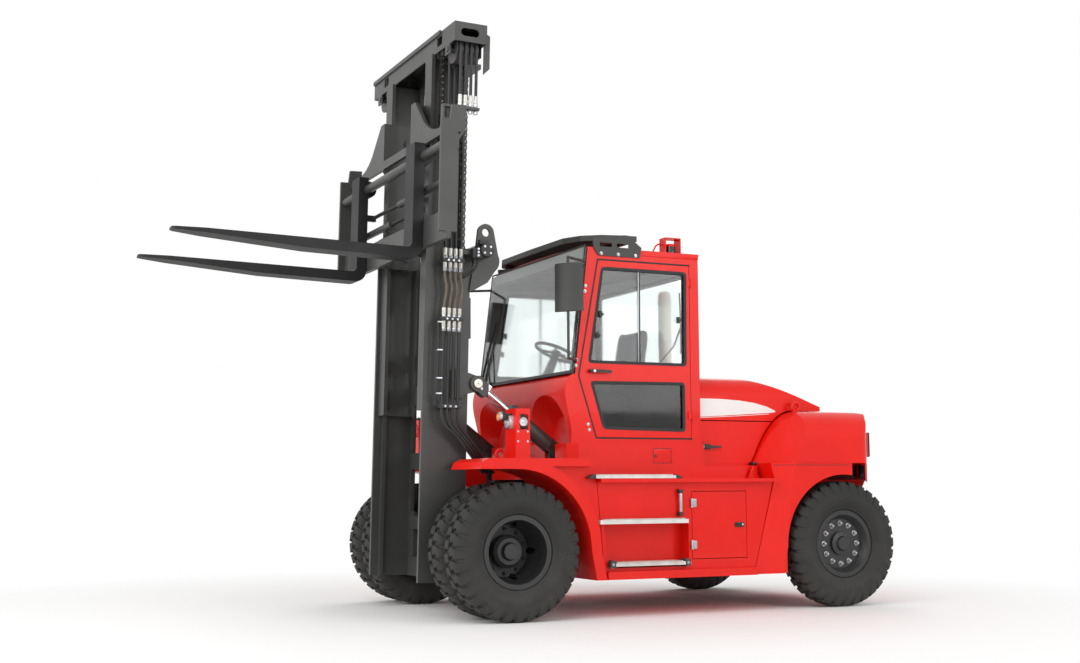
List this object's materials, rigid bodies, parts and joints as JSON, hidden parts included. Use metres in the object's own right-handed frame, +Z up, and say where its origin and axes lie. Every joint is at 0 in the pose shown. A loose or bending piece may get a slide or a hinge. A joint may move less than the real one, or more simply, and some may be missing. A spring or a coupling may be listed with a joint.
{
  "type": "heavy forklift",
  "caption": "Counterbalanced heavy forklift with a raised two-stage mast, long forks, twin front wheels, a closed cab and a cast counterweight.",
  "frame": {"origin": "on the ground under the middle of the truck's overall length and width", "axes": "+X to the truck's left, +Y to its rear (the forks point along -Y), +Z up"},
  "size_m": [2.578, 6.1422, 4.6454],
  "materials": {
    "black_metal": "satin",
    "body_red": "gloss",
    "cast": "rough",
    "chain": "oiled",
    "chrome": "polished",
    "glass": "gloss",
    "hose": "matt",
    "lamp": "gloss",
    "mast_grey": "satin",
    "plastic": "matt",
    "rim_black": "satin",
    "seat": "matt",
    "steel": "satin",
    "tread": "satin",
    "tyre": "matt"
  },
  "bodies": {
    "truck": {"beacon": "black_metal", "cab_glass": "glass", "cab_roof": "body_red", "cab_shell": "body_red", "chassis_frame": "black_metal", "counterweight": "body_red", "cowl": "body_red", "dash_console": "plastic", "deck": "body_red", "engine_block": "cast", "engine_side_panels": "body_red", "front_axle": "black_metal", "front_fenders": "body_red", "front_lamps": "lamp", "grab_handles": "black_metal", "lamp_posts": "body_red", "mirrors": "plastic", "rear_grille": "black_metal", "roof_visor": "plastic", "seat_backrest": "seat", "seat_base": "black_metal", "seat_cushion": "seat", "side_tanks": "body_red", "steer_axle": "black_metal", "steps": "tread", "tail_lamps": "lamp", "tow_pin": "steel"},
    "mast_outer": {"outer_mast": "mast_grey", "lift_barrels": "mast_grey", "outer_hoses": "hose"},
    "mast_inner": {"inner_mast": "mast_grey", "lift_rods": "chrome", "mast_sheaves": "steel", "lift_chains": "chain", "mast_hoses": "hose"},
    "carriage": {"carriage_frame": "mast_grey", "positioner_barrels": "mast_grey"},
    "fork_l": {"fork_left": "mast_grey"},
    "fork_r": {"fork_right": "mast_grey"},
    "hood": {"engine_hood": "body_red"},
    "cab_door_body_left": {"cab_door_left": "body_red", "door_glass_left": "glass"},
    "locker_body_left": {"locker_door_left": "body_red"},
    "front_wheels_left": {"front_tyres_left": "tyre", "front_rims_left": "rim_black"},
    "rear_wheel_left": {"rear_tyre_left": "tyre", "rear_rim_left": "rim_black"},
    "steer_knuckle_left": {"knuckle_left": "black_metal"},
    "tilt_cylinder_left": {"tilt_barrel_left": "mast_grey"},
    "tilt_piston_left": {"tilt_rod_left": "mast_grey"},
    "cab_door_body_right": {"cab_door_right": "body_red", "door_glass_right": "glass"},
    "locker_body_right": {"locker_door_right": "body_red"},
    "front_wheels_right": {"front_tyres_right": "tyre", "front_rims_right": "rim_black"},
    "rear_wheel_right": {"rear_tyre_right": "tyre", "rear_rim_right": "rim_black"},
    "steer_knuckle_right": {"knuckle_right": "black_metal"},
    "tilt_cylinder_right": {"tilt_barrel_right": "mast_grey"},
    "tilt_piston_right": {"tilt_rod_right": "mast_grey"}
  },
  "joints": [
    {"name": "mast_tilt", "type": "hinge", "parent": "truck", "child": "mast_outer", "pos_m": [0, -0.56886, 0.52], "axis": [1, 0, 0], "range_deg": [-10.7, 7.3]},
    {"name": "mast_lift", "type": "slide", "parent": "mast_outer", "child": "mast_inner", "axis": [0, 0.0227, 0.9997], "range_m": [-1.34, 0.36], "deforming": ["lift_chains", "mast_hoses"]},
    {"name": "carriage_lift", "type": "slide", "parent": "mast_inner", "child": "carriage", "axis": [0, 0.0227, 0.9997], "range_m": [-1.34, 0.36]},
    {"name": "fork_left_shift", "type": "slide", "parent": "carriage", "child": "fork_l", "axis": [1, 0, 0], "range_m": [-0.38, 0.42]},
    {"name": "fork_right_shift", "type": "slide", "parent": "carriage", "child": "fork_r", "axis": [1, 0, 0], "range_m": [-0.42, 0.38]},
    {"name": "hood_hinge", "type": "hinge", "parent": "truck", "child": "hood", "pos_m": [0, 2.46114, 1.63582], "axis": [-1, 0, 0], "range_deg": [0, 60]},
    {"name": "cab_door_hinge_left", "type": "hinge", "parent": "truck", "child": "cab_door_body_left", "pos_m": [0.9603, 1.14314, 1.345], "axis": [0, 0, 1], "range_deg": [0, 85]},
    {"name": "locker_hinge_left", "type": "hinge", "parent": "truck", "child": "locker_body_left", "pos_m": [1.1903, 0.98014, 0.29], "axis": [0, 0, -1], "range_deg": [0, 100]},
    {"name": "front_axle_spin_left", "type": "hinge", "parent": "truck", "child": "front_wheels_left", "pos_m": [0, -0.56886, 0.52], "axis": [1, 0, 0], "continuous": true},
    {"name": "steering_left", "type": "hinge", "parent": "truck", "child": "steer_knuckle_left", "pos_m": [0.95, 2.43114, 0.52], "axis": [0, 0, 1], "range_deg": [-50, 50]},
    {"name": "rear_axle_spin_left", "type": "hinge", "parent": "steer_knuckle_left", "child": "rear_wheel_left", "pos_m": [0, 2.43114, 0.52], "axis": [1, 0, 0], "continuous": true},
    {"name": "tilt_cylinder_pin_left", "type": "hinge", "parent": "truck", "child": "tilt_cylinder_left", "pos_m": [0.64, 0.05114, 1.282], "axis": [1, 0, 0], "range_deg": [-11.6, 8.2]},
    {"name": "tilt_cylinder_rod_left", "type": "slide", "parent": "tilt_cylinder_left", "child": "tilt_piston_left", "axis": [0, -0.7967, 0.6044], "range_m": [-0.185, 0.1269]},
    {"name": "cab_door_hinge_right", "type": "hinge", "parent": "truck", "child": "cab_door_body_right", "pos_m": [-0.9603, 1.14314, 1.345], "axis": [0, 0, -1], "range_deg": [0, 85]},
    {"name": "locker_hinge_right", "type": "hinge", "parent": "truck", "child": "locker_body_right", "pos_m": [-1.1903, 0.98014, 0.29], "axis": [0, 0, 1], "range_deg": [0, 100]},
    {"name": "front_axle_spin_right", "type": "hinge", "parent": "truck", "child": "front_wheels_right", "pos_m": [0, -0.56886, 0.52], "axis": [1, 0, 0], "continuous": true},
    {"name": "steering_right", "type": "hinge", "parent": "truck", "child": "steer_knuckle_right", "pos_m": [-0.95, 2.43114, 0.52], "axis": [0, 0, 1], "range_deg": [-50, 50]},
    {"name": "rear_axle_spin_right", "type": "hinge", "parent": "steer_knuckle_right", "child": "rear_wheel_right", "pos_m": [0, 2.43114, 0.52], "axis": [1, 0, 0], "continuous": true},
    {"name": "tilt_cylinder_pin_right", "type": "hinge", "parent": "truck", "child": "tilt_cylinder_right", "pos_m": [-0.64, 0.05114, 1.282], "axis": [1, 0, 0], "range_deg": [-11.6, 8.2]},
    {"name": "tilt_cylinder_rod_right", "type": "slide", "parent": "tilt_cylinder_right", "child": "tilt_piston_right", "axis": [0, -0.7967, 0.6044], "range_m": [-0.185, 0.1269]}
  ],
  "couplings": [
    {"joint": "carriage_lift", "follows": "mast_lift", "ratio": 1},
    {"joint": "fork_right_shift", "follows": "fork_left_shift", "ratio": -1},
    {"joint": "steering_right", "follows": "steering_left", "ratio": 1},
    {"joint": "tilt_cylinder_pin_left", "follows": "mast_tilt", "ratio": 0.99},
    {"joint": "tilt_cylinder_rod_left", "follows": "mast_tilt", "m_per_rad": 0.98},
    {"joint": "tilt_cylinder_pin_right", "follows": "mast_tilt", "ratio": 0.99},
    {"joint": "tilt_cylinder_rod_right", "follows": "mast_tilt", "m_per_rad": 0.98}
  ]
}
